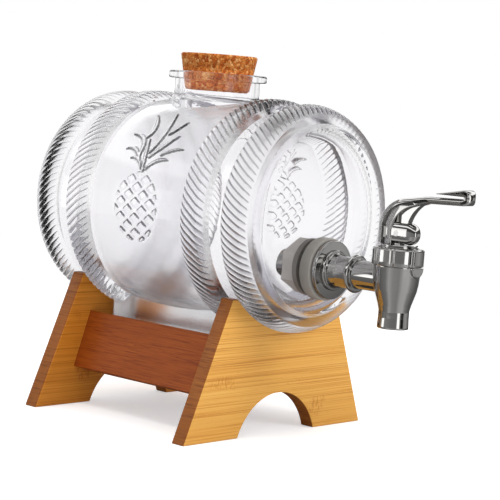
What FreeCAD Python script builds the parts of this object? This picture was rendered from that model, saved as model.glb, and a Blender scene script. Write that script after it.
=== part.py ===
import FreeCAD, Part
import math
import os
import re
import Sketcher

# Cocktail dispenser: a glass barrel lying on a bamboo stand, with a cork in its neck and a
# spring-closed lever tap in its front head. Millimetres; +X runs from the barrel to the tap,
# +Z is up, the stand's feet are at z = 0 and y = 0 is the plane of symmetry.

SIZES = {
    # barrel, measured along its axis from the middle and radially
    "axis_height": 115.0,
    "belly_radius": 59.0,
    "shoulder_x": 34.0,
    "shoulder_radius": 56.8,
    "inner_band_crown_x": 42.0,
    "inner_band_radius": 61.3,
    "inner_band_edge_drop": 1.2,
    "groove_radius": 55.0,
    "outer_band_crown_x": 66.5,
    "outer_band_radius": 60.0,
    "outer_band_end_x": 79.0,
    "outer_band_end_radius": 55.5,
    "band_crown_width": 5.0,
    "band_flank_bulge": 0.8,
    "strand_count": 98,
    "strand_depth": 1.0,
    "strand_valley_width": 2.4,
    "strand_lean": 36.0,
    "head_radius": 50.5,
    "head_edge_radius": 3.0,
    "barrel_half_length": 81.0,
    "glass_wall": 5.0,
    "cavity_edge_radius": 10.0,
    # neck and cork
    "neck_radius": 23.5,
    "neck_bore_radius": 19.4,
    "neck_flange_radius": 27.0,
    "neck_flange_thickness": 4.3,
    "neck_height": 73.0,
    "neck_rounding": 1.2,
    "cork_above": 10.0,
    "cork_below": 10.0,
    "cork_taper": 0.18,
    "cork_clearance": 0.1,
    "cork_rounding": 0.8,
    # moulded foot
    "foot_half_length": 50.0,
    "foot_half_width": 22.5,
    "foot_depth": 73.0,
    "foot_recess": 6.0,
    "foot_rim": 4.0,
    "foot_rounding": 2.0,
    # stand
    "panel_centre_x": 56.25,
    "board_thickness": 8.5,
    "groove_side_clearance": 0.6,
    "cradle_clearance": 0.3,
    "panel_height": 73.0,
    "panel_foot_half_width": 71.0,
    "cradle_horn_width": 5.53,
    "arch_half_width": 30.5,
    "arch_height": 21.8,
    "stretcher_height": 32.3,
    "stretcher_lean": 18.0,
    "stretcher_centre_y": 35.5,
    "stretcher_centre_z": 35.3,
    "dowel_radius": 3.0,
    "dowel_length": 20.0,
    "dowel_in_panel": 5.5,
    "dowel_spacing": 17.0,
    "dowel_clearance": 0.05,
    # tap: shank, flange, gaskets and nut, on a horizontal axis
    "tap_drop": 24.2,
    "shank_radius": 7.5,
    "shank_reach_inside": 26.0,
    "water_bore_radius": 4.2,
    "hole_clearance": 0.4,
    "thread_clearance": 0.05,
    "outer_gasket_radius": 16.3,
    "outer_gasket_thickness": 7.0,
    "inner_gasket_radius": 15.0,
    "inner_gasket_thickness": 3.0,
    "nut_across_corners": 29.0,
    "nut_thickness": 9.0,
    "flange_radius": 15.2,
    "flange_thickness": 3.0,
    "shoulder_ring_radius": 10.5,
    "shoulder_ring_thickness": 1.5,
    "cone_start_radius": 8.9,
    "cone_end_radius": 7.9,
    "cone_length": 12.0,
    "collar_radius": 9.4,
    "collar_thickness": 2.5,
    "pipe_radius": 7.4,
    # tap: body and valve, on a vertical axis
    "tap_reach": 50.3,
    "spout_drop": 24.3,
    "spout_lip_radius": 7.95,
    "spout_waist_radius": 7.75,
    "spout_waist_height": 9.0,
    "body_radius": 11.4,
    "body_taper_height": 12.5,
    "body_top_radius": 12.0,
    "pipe_to_cap": 0.1,
    "index_boss_radius": 4.6,
    "index_boss_height": 0.7,
    "index_boss_drop": 0.6,
    "outlet_radius": 6.4,
    "seat_radius": 4.6,
    "seat_drop": 6.8,
    "seat_length": 2.0,
    "seat_funnel_length": 1.0,
    "chamber_radius": 8.6,
    "spigot_radius": 10.4,
    "spigot_height": 5.0,
    "cap_radius": 13.0,
    "cap_height": 8.9,
    "cap_top_thickness": 3.0,
    "cap_edge": 0.8,
    "cap_notch_radius": 1.6,
    "cap_notch_depth": 0.7,
    "cap_notch_count": 8,
    "o_ring_section_radius": 0.8,
    "o_ring_groove_clearance": 0.1,
    "stem_radius": 2.6,
    "stem_guide_clearance": 0.08,
    "stem_collar_radius": 6.6,
    "stem_collar_thickness": 1.0,
    "stem_head_half_width": 1.9,
    "stem_head_radius": 4.0,
    "stem_neck_half_width": 1.7,
    "stem_neck_length": 8.6,
    "cup_radius": 7.4,
    "cup_height": 6.0,
    "cup_seat_clearance": 0.05,
    "spring_radius": 5.0,
    "spring_wire_radius": 0.5,
    "spring_pitch": 2.4,
    "spring_end_clearance": 0.1,
    "washer_radius": 9.5,
    "washer_thickness": 1.7,
    # lever, from the centre of its pin
    "pin_radius": 1.5,
    "pin_clearance": 0.05,
    "nose_radius": 5.5,
    "nose_offset": 6.0,
    "nose_clearance": 0.05,
    "nose_half_width": 3.7,
    "lever_half_width": 4.0,
    "lever_back_x": 11.8,
    "lever_stem_thickness": 9.2,
    "elbow_height": 4.5,
    "elbow_radius": 16.6,
    "elbow_end_x": 3.0,
    "elbow_end_height": 17.6,
    "elbow_inner_height": 3.5,
    "elbow_inner_radius": 15.8,
    "elbow_inner_end_x": 8.5,
    "elbow_inner_end_height": 13.8,
    "blade_thickness": 3.2,
    "blade_knee_x": 15.4,
    "blade_knee_height": 19.6,
    "blade_end_height": 20.3,
    "lever_reach": 42.4,
    "curl_radius": 3.85,
    "curl_gap": 1.1,
    "curl_length": 16.0,
    "curl_tip": 0.5,
    "rib_half_width": 1.9,
    "rib_back_x": 1.6,
    "rib_front_x": 5.2,
    "rib_reach": 15.5,
    "rib_radius": 18.0,
    "slot_back_reach": 4.6,
    "slot_front_reach": 6.4,
    "slot_roof_clearance": 0.5,
    "slot_clearance": 0.1,
}

# Lengths that follow from the driving sizes; each is a formula over them and one another.
FOLLOWING = {
    "barrel_x": "-(tap_reach + lever_reach) / 2",
    "tap_height": "axis_height - tap_drop",
    "panel_half_gap": "panel_centre_x - board_thickness / 2",
    "groove_start_x": "panel_half_gap - groove_side_clearance",
    "groove_end_x": "panel_centre_x + board_thickness / 2 + groove_side_clearance",
    "inner_band_edge_radius": "inner_band_radius - inner_band_edge_drop",
    "inner_crown_end_x": "inner_band_crown_x + band_crown_width",
    "outer_crown_end_x": "outer_band_crown_x + band_crown_width",
    "cavity_end_x": "barrel_half_length - glass_wall",
    "cavity_radius": "belly_radius - glass_wall",
    "cavity_end_radius": "groove_radius - glass_wall",
    "cradle_radius": "groove_radius + cradle_clearance",
    "cradle_half_width": "sqrt(cradle_radius^2 - (axis_height - panel_height)^2)",
    "panel_top_half_width": "cradle_half_width + cradle_horn_width",
    "arch_radius": "(arch_half_width^2 + arch_height^2) / (2 * arch_height)",
    "cork_mouth_radius": "neck_bore_radius - cork_clearance",
    "flange_front_x": "outer_gasket_thickness + flange_thickness",
    "ring_front_x": "flange_front_x + shoulder_ring_thickness",
    "cone_front_x": "ring_front_x + cone_length",
    "collar_front_x": "cone_front_x + collar_thickness",
    "tap_x": "barrel_x + barrel_half_length + tap_reach",
    "body_top_rise": "pipe_radius + pipe_to_cap",
    "cap_top": "body_top_rise + cap_height",
    "cap_ceiling": "cap_top - cap_top_thickness",
    "washer_top": "cap_top + washer_thickness",
    "pin_height": "washer_top + nose_radius + nose_clearance",
    "cup_bottom": "cup_seat_clearance - seat_drop",
    "cup_top": "cup_bottom + cup_height",
    "stem_collar_top": "cup_top + stem_collar_thickness",
    "spring_bottom": "stem_collar_top + spring_wire_radius + spring_end_clearance",
    "spring_height": "cap_ceiling - spring_wire_radius - spring_end_clearance - spring_bottom",
    "groove_ring_radius": "spigot_radius - o_ring_section_radius",
    "lever_front_x": "lever_stem_thickness - lever_back_x",
    "blade_underside": "blade_knee_height - blade_thickness",
    "curl_centre_x": "lever_reach - curl_radius",
}

doc = FreeCAD.newDocument("CocktailDispenser")
sheet = doc.addObject("Spreadsheet::Sheet", "Sizes")
for row, (alias, size) in enumerate(SIZES.items(), start=1):
    sheet.set(f"A{row}", alias.replace("_", " "))
    sheet.set(f"B{row}", str(size))
    sheet.setAlias(f"B{row}", alias)
doc.recompute()


def bound(formula):
    """The formula with each name turned into its cell, or into the formula that it stands for."""
    def cell(match):
        name = match.group(0)
        if name in FOLLOWING:
            return f"({bound(FOLLOWING[name])})"
        return f"Sizes.{name}" if name in SIZES else name
    return re.sub(r"[a-z][a-z_]+", cell, formula)


def value(formula):
    return float(sheet.evalExpression(bound(formula)))


def bind(thing, **formulas):
    """Bind properties; a double underscore in a name stands for a point."""
    for name, formula in formulas.items():
        thing.setExpression(name.replace("__", "."), bound(formula))


def place(thing, x="0", y="0", z="0"):
    bind(thing, Placement__Base__x=x, Placement__Base__y=y, Placement__Base__z=z)


# ---------------------------------------------------------------- sketches

def sketch_on(body, role, name, offset="0"):
    sketch = body.newObject("Sketcher::SketchObject", f"{body.Name}_{name}")
    plane = next(part for part in body.Origin.OriginFeatures if part.Role == role)
    sketch.AttachmentSupport = (plane, [""])
    sketch.MapMode = "FlatFace"
    bind(sketch, AttachmentOffset__Base__z=offset)
    return sketch


def pin_down(sketch, geometry, point, x, y):
    """Hold one point of the sketch at two formulas."""
    for kind, formula, axis in (("DistanceX", x, -2), ("DistanceY", y, -1)):
        if formula == "0":
            sketch.addConstraint(Sketcher.Constraint("PointOnObject", geometry, point, axis))
        else:
            at = Sketcher.Constraint(kind, geometry, point, value(formula))
            sketch.setExpression(f"Constraints[{sketch.addConstraint(at)}]", bound(formula))


def arc_between(start, end, radius, turn):
    """The shorter arc from start to end; turn is +1 anticlockwise and -1 clockwise."""
    chord = end - start
    rise = math.sqrt(max(radius ** 2 - chord.Length ** 2 / 4, 0.0))
    side = FreeCAD.Vector(-chord.y, chord.x, 0) * (turn / chord.Length)
    centre = (start + end) / 2 + side * rise
    angles = [math.atan2(p.y - centre.y, p.x - centre.x) for p in (start, end)]
    if turn < 0:
        angles.reverse()
    return Part.ArcOfCircle(Part.Circle(centre, FreeCAD.Vector(0, 0, 1), radius), *angles)


def outline(sketch, corners):
    """A closed outline. A corner is (x, y), or (x, y, radius, turn) where an arc runs on from it."""
    spots = [FreeCAD.Vector(value(corner[0]), value(corner[1]), 0) for corner in corners]
    first = sketch.GeometryCount
    starts = []
    for index, corner in enumerate(corners):
        start = spots[index]
        end = spots[(index + 1) % len(spots)]
        if len(corner) == 2:
            sketch.addGeometry(Part.LineSegment(start, end))
            starts.append(1)
        else:
            sketch.addGeometry(arc_between(start, end, value(corner[2]), corner[3]))
            starts.append(1 if corner[3] > 0 else 2)
    for index, corner in enumerate(corners):
        here = first + index
        last = (index - 1) % len(corners)
        join = Sketcher.Constraint("Coincident", first + last, 3 - starts[last], here, starts[index])
        sketch.addConstraint(join)
        pin_down(sketch, here, starts[index], corner[0], corner[1])
        if len(corner) > 2:
            radius = Sketcher.Constraint("Radius", here, value(corner[2]))
            sketch.setExpression(f"Constraints[{sketch.addConstraint(radius)}]", bound(corner[2]))


def circle(sketch, x, y, radius):
    centre = FreeCAD.Vector(value(x), value(y), 0)
    shape = Part.Circle(centre, FreeCAD.Vector(0, 0, 1), value(radius))
    here = sketch.addGeometry(shape)
    pin_down(sketch, here, 3, x, y)
    size = Sketcher.Constraint("Radius", here, value(radius))
    sketch.setExpression(f"Constraints[{sketch.addConstraint(size)}]", bound(radius))


def rectangle(sketch, x_low, x_high, y_low, y_high):
    outline(sketch, [(x_low, y_low), (x_high, y_low), (x_high, y_high), (x_low, y_high)])


def rounded_rectangle(sketch, half_length, half_width, radius):
    """A rectangle about the sketch's origin with round corners."""
    x, y = f"({half_length} - {radius})", f"({half_width} - {radius})"
    outline(sketch, [
        (f"-{x}", f"-({half_width})"),
        (x, f"-({half_width})", radius, 1),
        (half_length, f"-{y}"),
        (half_length, y, radius, 1),
        (x, half_width),
        (f"-{x}", half_width, radius, 1),
        (f"-({half_length})", y),
        (f"-({half_length})", f"-{y}", radius, 1),
    ])


# ---------------------------------------------------------------- features

def new_body(label):
    body = doc.addObject("PartDesign::Body", label)
    body.Label = label
    return body


def turned(body, kind, name, sketch, axis):
    """A full turn of a sketch: kind is Revolution or Groove, axis is H_Axis or V_Axis."""
    feature = body.newObject(f"PartDesign::{kind}", f"{body.Name}_{name}")
    feature.Profile = sketch
    feature.ReferenceAxis = (sketch, [axis])
    feature.Angle = 360
    return feature


def straight(body, kind, name, sketch, length, both_ways=False, reverse=False):
    """A Pad or Pocket of a sketch by a length."""
    feature = body.newObject(f"PartDesign::{kind}", f"{body.Name}_{name}")
    feature.Profile = sketch
    feature.SideType = "Symmetric" if both_ways else "One side"
    feature.Reversed = reverse
    bind(feature, Length=length)
    return feature


def mirrored(body, name, features, role):
    """The features again, on the other side of one of the body's origin planes."""
    plane = next(part for part in body.Origin.OriginFeatures if part.Role == role)
    mirror = body.newObject("PartDesign::Mirrored", f"{body.Name}_{name}")
    mirror.Originals = features
    mirror.MirrorPlane = (plane, [""])
    body.Tip = mirror
    return mirror


def around(body, name, features, role, count):
    axis = next(part for part in body.Origin.OriginFeatures if part.Role == role)
    pattern = body.newObject("PartDesign::PolarPattern", f"{body.Name}_{name}")
    pattern.Originals = features
    pattern.Axis = (axis, [""])
    pattern.Angle = 360
    bind(pattern, Occurrences=count)
    body.Tip = pattern
    return pattern


def turned_piece(label, role, axis, corners):
    """A body that is one full turn of one outline."""
    body = new_body(label)
    sketch = sketch_on(body, role, "profile")
    outline(sketch, corners)
    turned(body, "Revolution", "turn", sketch, axis)
    return body


def ring_piece(label, inner, outer, back, front):
    """A washer about the tap's horizontal axis, between two distances from the glass."""
    corners = [(back, inner), (front, inner), (front, outer), (back, outer)]
    body = turned_piece(label, "XY_Plane", "H_Axis", corners)
    place(body, "barrel_x + barrel_half_length", "0", "tap_height")
    return body


# ---------------------------------------------------------------- glass and cork

def flank(x, next_x, radius, next_radius):
    """The corner in the middle of a rope band's flank, which bulges outward there."""
    return f"({x} + {next_x}) / 2", f"({radius} + {next_radius}) / 2 + band_flank_bulge"


def strand_valleys(body, band, end, width):
    """The valleys between a rope band's strands: one leaning V, repeated; end is - at the rear."""
    side = "rear" if end else "front"
    section = sketch_on(body, "YZ_Plane", f"{side}_{band}_valley",
                        f"{end}({band}_crown_x + band_crown_width / 2)")
    section.setExpression("AttachmentOffset.Rotation.Axis.y", "1")
    section.setExpression("AttachmentOffset.Rotation.Axis.z", "0")
    bind(section, AttachmentOffset__Rotation__Angle="strand_lean" if end else "-strand_lean")
    outline(section, [
        ("0", f"{band}_radius - strand_depth"),
        ("strand_valley_width", f"{band}_radius + strand_depth"),
        ("-strand_valley_width", f"{band}_radius + strand_depth"),
    ])
    valley = straight(body, "Pocket", f"{side}_{band}_pocket", section, width, both_ways=True)
    around(body, f"{side}_{band}_valleys", [valley], "X_Axis", "strand_count")


def glass_barrel():
    """One moulded piece: half is turned and mirrored, then the neck and foot join it."""
    body = new_body("glass_barrel")
    half = sketch_on(body, "XY_Plane", "outside")
    outline(half, [
        ("0", "0"),
        ("barrel_half_length", "0"),
        ("barrel_half_length", "head_radius - head_edge_radius", "head_edge_radius", 1),
        ("barrel_half_length - head_edge_radius", "head_radius"),
        ("outer_band_end_x", "outer_band_end_radius"),
        flank("outer_band_end_x", "outer_crown_end_x", "outer_band_end_radius", "outer_band_radius"),
        ("outer_crown_end_x", "outer_band_radius"),
        ("outer_band_crown_x", "outer_band_radius"),
        flank("outer_band_crown_x", "groove_end_x", "outer_band_radius", "groove_radius"),
        ("groove_end_x", "groove_radius"),
        ("groove_start_x", "groove_radius"),
        ("groove_start_x", "inner_band_edge_radius"),
        ("inner_crown_end_x", "inner_band_radius"),
        ("inner_band_crown_x", "inner_band_radius"),
        flank("inner_band_crown_x", "shoulder_x", "inner_band_radius", "shoulder_radius"),
        ("shoulder_x", "shoulder_radius"),
        ("0", "belly_radius"),
    ])
    side = turned(body, "Revolution", "half", half, "H_Axis")
    mirrored(body, "both_halves", [side], "YZ_Plane")
    for end in ("", "-"):
        strand_valleys(body, "inner_band", end, "groove_start_x - shoulder_x")
        strand_valleys(body, "outer_band", end, "outer_band_end_x - groove_end_x")

    neck = sketch_on(body, "XZ_Plane", "neck")
    flange_low = "neck_height - neck_flange_thickness"
    outline(neck, [
        ("0", "0"),
        ("neck_radius", "0"),
        ("neck_radius", flange_low),
        ("neck_flange_radius - neck_rounding", flange_low, "neck_rounding", 1),
        ("neck_flange_radius", f"{flange_low} + neck_rounding"),
        ("neck_flange_radius", "neck_height - neck_rounding", "neck_rounding", 1),
        ("neck_flange_radius - neck_rounding", "neck_height"),
        ("0", "neck_height"),
    ])
    turned(body, "Revolution", "neck_turn", neck, "V_Axis")

    foot = sketch_on(body, "XY_Plane", "foot")
    rounded_rectangle(foot, "foot_half_length", "foot_half_width", "(foot_rim + foot_rounding)")
    straight(body, "Pad", "foot_pad", foot, "foot_depth", reverse=True)
    recess = sketch_on(body, "XY_Plane", "recess", "-foot_depth")
    rounded_rectangle(recess, "(foot_half_length - foot_rim)", "(foot_half_width - foot_rim)",
                      "foot_rounding")
    straight(body, "Pocket", "recess_pocket", recess, "foot_recess", reverse=True)

    inside = sketch_on(body, "XY_Plane", "cavity")
    outline(inside, [
        ("0", "0"),
        ("cavity_end_x", "0"),
        ("cavity_end_x", "cavity_end_radius - cavity_edge_radius", "cavity_edge_radius", 1),
        ("cavity_end_x - cavity_edge_radius", "cavity_end_radius"),
        ("shoulder_x", "shoulder_radius - glass_wall"),
        ("0", "cavity_radius"),
    ])
    hollow = turned(body, "Groove", "cavity_turn", inside, "H_Axis")
    mirrored(body, "both_cavities", [hollow], "YZ_Plane")

    bore = sketch_on(body, "XY_Plane", "bore", "neck_height")
    circle(bore, "0", "0", "neck_bore_radius")
    straight(body, "Pocket", "bore_pocket", bore, "neck_height")

    hole = sketch_on(body, "YZ_Plane", "tap_hole", "barrel_half_length")
    circle(hole, "0", "-tap_drop", "shank_radius + hole_clearance")
    straight(body, "Pocket", "tap_hole_pocket", hole, "2 * glass_wall")
    place(body, "barrel_x", "0", "axis_height")
    for feature in body.Group:
        if hasattr(feature, "Refine"):
            feature.Refine = False
    return body


def cork_stopper():
    """A tapered plug that wedges in the mouth of the neck."""
    low_radius = "cork_mouth_radius - cork_taper * cork_below"
    top_radius = "cork_mouth_radius + cork_taper * cork_above"
    body = turned_piece("cork_stopper", "XZ_Plane", "V_Axis", [
        ("0", "-cork_below"),
        (f"{low_radius} - cork_rounding", "-cork_below"),
        (low_radius, "cork_rounding - cork_below"),
        (top_radius, "cork_above - cork_rounding"),
        (f"{top_radius} - cork_rounding", "cork_above"),
        ("0", "cork_above"),
    ])
    place(body, "barrel_x", "0", "axis_height + neck_height")
    return body


# ---------------------------------------------------------------- stand

def dowel_spots():
    """Centre of each dowel in the YZ plane: two in each of the two leaning boards."""
    for side in ("-", ""):
        for step in ("-", ""):
            along = f"{step}dowel_spacing / 2"
            y = f"{side}(stretcher_centre_y - ({along}) * sin(stretcher_lean))"
            yield y, f"stretcher_centre_z + ({along}) * cos(stretcher_lean)"


def stand_panel(label, inward):
    """A trapezoid board with a cradle, an arch and blind dowel holes; inward is + or -."""
    body = new_body(label)
    face = sketch_on(body, "YZ_Plane", "outline")
    outline(face, [
        ("-panel_foot_half_width", "0"),
        ("-arch_half_width", "0", "arch_radius", -1),
        ("arch_half_width", "0"),
        ("panel_foot_half_width", "0"),
        ("panel_top_half_width", "panel_height"),
        ("cradle_half_width", "panel_height", "cradle_radius", -1),
        ("-cradle_half_width", "panel_height"),
        ("-panel_top_half_width", "panel_height"),
    ])
    straight(body, "Pad", "board", face, "board_thickness", both_ways=True)
    holes = sketch_on(body, "YZ_Plane", "dowel_holes", f"{inward}board_thickness / 2")
    for y, z in dowel_spots():
        circle(holes, y, z, "dowel_radius + dowel_clearance")
    straight(body, "Pocket", "hole_pocket", holes, "dowel_in_panel", reverse=inward == "-")
    outward = "-" if inward == "+" else ""
    place(body, f"barrel_x + {outward}panel_centre_x")
    return body


def stretcher(label, side):
    """A leaning board between the panels, with dowel holes in both ends."""
    body = new_body(label)
    section = sketch_on(body, "YZ_Plane", "section")
    rectangle(section, "-board_thickness / 2", "board_thickness / 2",
              "-stretcher_height / 2", "stretcher_height / 2")
    straight(body, "Pad", "board", section, "2 * panel_half_gap", both_ways=True)
    ends = sketch_on(body, "YZ_Plane", "end_holes", "panel_half_gap")
    for step in ("-", ""):
        circle(ends, "0", f"{step}dowel_spacing / 2", "dowel_radius + dowel_clearance")
    drilled = straight(body, "Pocket", "hole_pocket", ends, "dowel_length - dowel_in_panel + 1")
    mirrored(body, "both_ends", [drilled], "YZ_Plane")
    body.Placement.Rotation = FreeCAD.Rotation(FreeCAD.Vector(1, 0, 0), 0)
    turn = "-" if side == "-" else ""
    place(body, "barrel_x", f"{side}stretcher_centre_y", "stretcher_centre_z")
    body.setExpression("Placement.Rotation.Axis.x", "1")
    body.setExpression("Placement.Rotation.Axis.z", "0")
    bind(body, Placement__Rotation__Angle=f"{turn}stretcher_lean")
    return body


def stretcher_dowels():
    """Eight alike dowels, half in a board's end and half in a panel."""
    dowels = []
    for end in ("-", ""):
        for y, z in dowel_spots():
            dowel = doc.addObject("Part::Cylinder", "dowel")
            bind(dowel, Radius="dowel_radius", Height="dowel_length")
            start = "panel_half_gap + dowel_in_panel"
            x = f"-({start})" if end == "-" else f"{start} - dowel_length"
            place(dowel, f"barrel_x + {x}", y, z)
            dowel.setExpression("Placement.Rotation.Axis.y", "1")
            dowel.setExpression("Placement.Rotation.Axis.z", "0")
            dowel.setExpression("Placement.Rotation.Angle", "90")
            dowels.append(dowel)
    together = doc.addObject("Part::Compound", "stretcher_dowels")
    together.Label = "stretcher_dowels"
    together.Links = dowels
    return together


# ---------------------------------------------------------------- tap fittings on the shank

def lock_nut():
    """A six-sided nut that pulls the tap against the head from the inside."""
    body = new_body("lock_nut")
    back = "glass_wall + inner_gasket_thickness + nut_thickness"
    face = sketch_on(body, "YZ_Plane", "hexagon", f"-({back})")
    corners = []
    for step in range(6):
        angle = f"{30 + 60 * step} deg"
        corners.append((f"nut_across_corners / 2 * cos({angle})",
                        f"nut_across_corners / 2 * sin({angle})"))
    outline(face, corners)
    straight(body, "Pad", "hexagon_pad", face, "nut_thickness")
    bore = sketch_on(body, "YZ_Plane", "bore", f"-({back})")
    circle(bore, "0", "0", "shank_radius + thread_clearance")
    straight(body, "Pocket", "bore_pocket", bore, "nut_thickness", reverse=True)
    place(body, "barrel_x + barrel_half_length", "0", "tap_height")
    return body


def tap_body():
    """One casting: threaded shank, shoulder ring, cone, collar bead, pipe and spout."""
    body = new_body("tap_body")
    shank = sketch_on(body, "XY_Plane", "shank")
    outline(shank, [
        ("-shank_reach_inside", "0"),
        ("tap_reach", "0"),
        ("tap_reach", "pipe_radius"),
        ("collar_front_x", "pipe_radius"),
        ("collar_front_x", "collar_radius"),
        ("cone_front_x", "collar_radius"),
        ("cone_front_x", "cone_end_radius"),
        ("ring_front_x", "cone_start_radius"),
        ("ring_front_x", "shoulder_ring_radius"),
        ("flange_front_x", "shoulder_ring_radius"),
        ("flange_front_x", "shank_radius"),
        ("-shank_reach_inside", "shank_radius"),
    ])
    turned(body, "Revolution", "shank_turn", shank, "H_Axis")

    barrel = sketch_on(body, "XZ_Plane", "spout")
    # the sketch is drawn at the spout's own axis, which lies tap_reach in front of the glass
    bind(barrel, AttachmentOffset__Base__x="tap_reach")
    taper_start = "spout_waist_height - spout_drop"
    taper_end = f"{taper_start} + body_taper_height"
    outline(barrel, [
        ("0", "-spout_drop"),
        ("spout_lip_radius", "-spout_drop"),
        ("spout_waist_radius", taper_start),
        ("body_radius", taper_end),
        ("body_top_radius", "body_top_rise"),
        ("spigot_radius", "body_top_rise"),
        ("spigot_radius", "body_top_rise + spigot_height"),
        ("0", "body_top_rise + spigot_height"),
    ])
    turned(body, "Revolution", "spout_turn", barrel, "V_Axis")

    boss = sketch_on(body, "YZ_Plane", "index_boss", "tap_reach")
    boss_rise = "body_top_rise - index_boss_drop"
    outline(boss, [
        ("-index_boss_radius", boss_rise, "index_boss_radius * 1.001", 1),
        ("index_boss_radius", boss_rise),
    ])
    straight(body, "Pad", "boss_pad", boss, "body_top_radius + index_boss_height")

    chamber = sketch_on(body, "XZ_Plane", "chamber")
    bind(chamber, AttachmentOffset__Base__x="tap_reach")
    outline(chamber, [
        ("0", "-spout_drop - 1"),
        ("outlet_radius", "-spout_drop - 1"),
        ("outlet_radius", "-seat_drop - seat_length - seat_funnel_length"),
        ("seat_radius", "-seat_drop - seat_length"),
        ("seat_radius", "-seat_drop"),
        ("chamber_radius", "-seat_drop"),
        ("chamber_radius", "body_top_rise + spigot_height + 1"),
        ("0", "body_top_rise + spigot_height + 1"),
    ])
    turned(body, "Groove", "chamber_turn", chamber, "V_Axis")

    ring = sketch_on(body, "XZ_Plane", "ring_groove")
    bind(ring, AttachmentOffset__Base__x="tap_reach")
    middle = "body_top_rise + spigot_height / 2"
    low = f"{middle} - o_ring_section_radius - o_ring_groove_clearance"
    high = f"{middle} + o_ring_section_radius + o_ring_groove_clearance"
    depth = "groove_ring_radius - o_ring_section_radius"
    rectangle(ring, depth, "spigot_radius + 1", low, high)
    turned(body, "Groove", "ring_groove_turn", ring, "V_Axis")

    bore = sketch_on(body, "YZ_Plane", "water_bore", "-shank_reach_inside - 1")
    circle(bore, "0", "0", "water_bore_radius")
    length = "shank_reach_inside + tap_reach + 1"
    straight(body, "Pocket", "water_pocket", bore, length, reverse=True)
    place(body, "barrel_x + barrel_half_length", "0", "tap_height")
    return body


# ---------------------------------------------------------------- tap valve

def bonnet_cap():
    """The screwed cap, with grip notches and a guide bore for the stem."""
    body = turned_piece("bonnet_cap", "XZ_Plane", "V_Axis", [
        ("spigot_radius + thread_clearance", "body_top_rise"),
        ("cap_radius - cap_edge", "body_top_rise"),
        ("cap_radius", "body_top_rise + cap_edge"),
        ("cap_radius", "cap_top - cap_edge"),
        ("cap_radius - cap_edge", "cap_top"),
        ("stem_radius + stem_guide_clearance", "cap_top"),
        ("stem_radius + stem_guide_clearance", "cap_ceiling"),
        ("spigot_radius + thread_clearance", "cap_ceiling"),
    ])
    cut = sketch_on(body, "XY_Plane", "notch", "cap_top")
    notch_centre = "cap_radius + cap_notch_radius - cap_notch_depth"
    half_step = "180 deg / cap_notch_count"
    circle(cut, f"({notch_centre}) * cos({half_step})", f"({notch_centre}) * sin({half_step})",
           "cap_notch_radius")
    notch = straight(body, "Pocket", "notch_pocket", cut, "cap_height")
    around(body, "notches", [notch], "Z_Axis", "cap_notch_count")
    place(body, "tap_x", "0", "tap_height")
    return body


def bonnet_o_ring():
    """The seal in the spigot's groove."""
    ring = doc.addObject("Part::Torus", "bonnet_o_ring")
    ring.Label = "bonnet_o_ring"
    bind(ring, Radius1="groove_ring_radius", Radius2="o_ring_section_radius")
    place(ring, "tap_x", "0", "tap_height + body_top_rise + spigot_height / 2")
    return ring


def bonnet_washer():
    body = turned_piece("bonnet_washer", "XZ_Plane", "V_Axis", [
        ("stem_radius + stem_guide_clearance", "cap_top"),
        ("washer_radius", "cap_top"),
        ("washer_radius", "washer_top"),
        ("stem_radius + stem_guide_clearance", "washer_top"),
    ])
    place(body, "tap_x", "0", "tap_height")
    return body


def valve_stem():
    """A rod with a collar for the spring and a flat round head for the lever's pin."""
    body = turned_piece("valve_stem", "XZ_Plane", "V_Axis", [
        ("0", "cup_bottom + cup_height / 3"),
        ("stem_radius", "cup_bottom + cup_height / 3"),
        ("stem_radius", "cup_top"),
        ("stem_collar_radius", "cup_top"),
        ("stem_collar_radius", "stem_collar_top"),
        ("stem_radius", "stem_collar_top"),
        ("stem_radius", "pin_height - stem_neck_length"),
        ("0", "pin_height - stem_neck_length"),
    ])
    neck = sketch_on(body, "XZ_Plane", "neck")
    rectangle(neck, "-stem_neck_half_width", "stem_neck_half_width",
              "pin_height - stem_neck_length - 1", "pin_height")
    straight(body, "Pad", "neck_pad", neck, "2 * stem_head_half_width", both_ways=True)
    disc = sketch_on(body, "XZ_Plane", "disc")
    circle(disc, "0", "pin_height", "stem_head_radius")
    straight(body, "Pad", "disc_pad", disc, "2 * stem_head_half_width", both_ways=True)
    eye = sketch_on(body, "XZ_Plane", "eye")
    circle(eye, "0", "pin_height", "pin_radius + pin_clearance")
    straight(body, "Pocket", "eye_pocket", eye, "3 * stem_head_half_width", both_ways=True)
    place(body, "tap_x", "0", "tap_height")
    return body


def seat_cup():
    """The silicone plug on the stem's foot."""
    body = turned_piece("seat_cup", "XZ_Plane", "V_Axis", [
        ("0", "cup_bottom"),
        ("cup_radius", "cup_bottom"),
        ("cup_radius", "cup_bottom + cup_height / 2"),
        ("stem_collar_radius", "cup_top"),
        ("stem_radius + thread_clearance", "cup_top"),
        ("stem_radius + thread_clearance", "cup_bottom + cup_height / 3"),
        ("0", "cup_bottom + cup_height / 3"),
    ])
    place(body, "tap_x", "0", "tap_height")
    return body


def valve_spring():
    """A round-wire spring from the stem's collar to the cap's ceiling."""
    coil = doc.addObject("Part::Helix", "spring_coil")
    bind(coil, Pitch="spring_pitch", Height="spring_height", Radius="spring_radius")
    wire = doc.addObject("Part::Circle", "spring_wire")
    bind(wire, Radius="spring_wire_radius")
    bind(wire, Placement__Base__x="spring_radius")
    wire.setExpression("Placement.Rotation.Axis.x", "1")
    wire.setExpression("Placement.Rotation.Axis.z", "0")
    wire.setExpression("Placement.Rotation.Angle", "90")
    spring = doc.addObject("Part::Sweep", "valve_spring")
    spring.Label = "valve_spring"
    spring.Sections = [wire]
    doc.recompute()
    edges = [f"Edge{number + 1}" for number in range(len(coil.Shape.Edges))]
    spring.Spine = (coil, edges)
    spring.Solid = True
    spring.Frenet = True
    place(spring, "tap_x", "0", "tap_height + spring_bottom")
    return spring


# ---------------------------------------------------------------- lever

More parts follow.
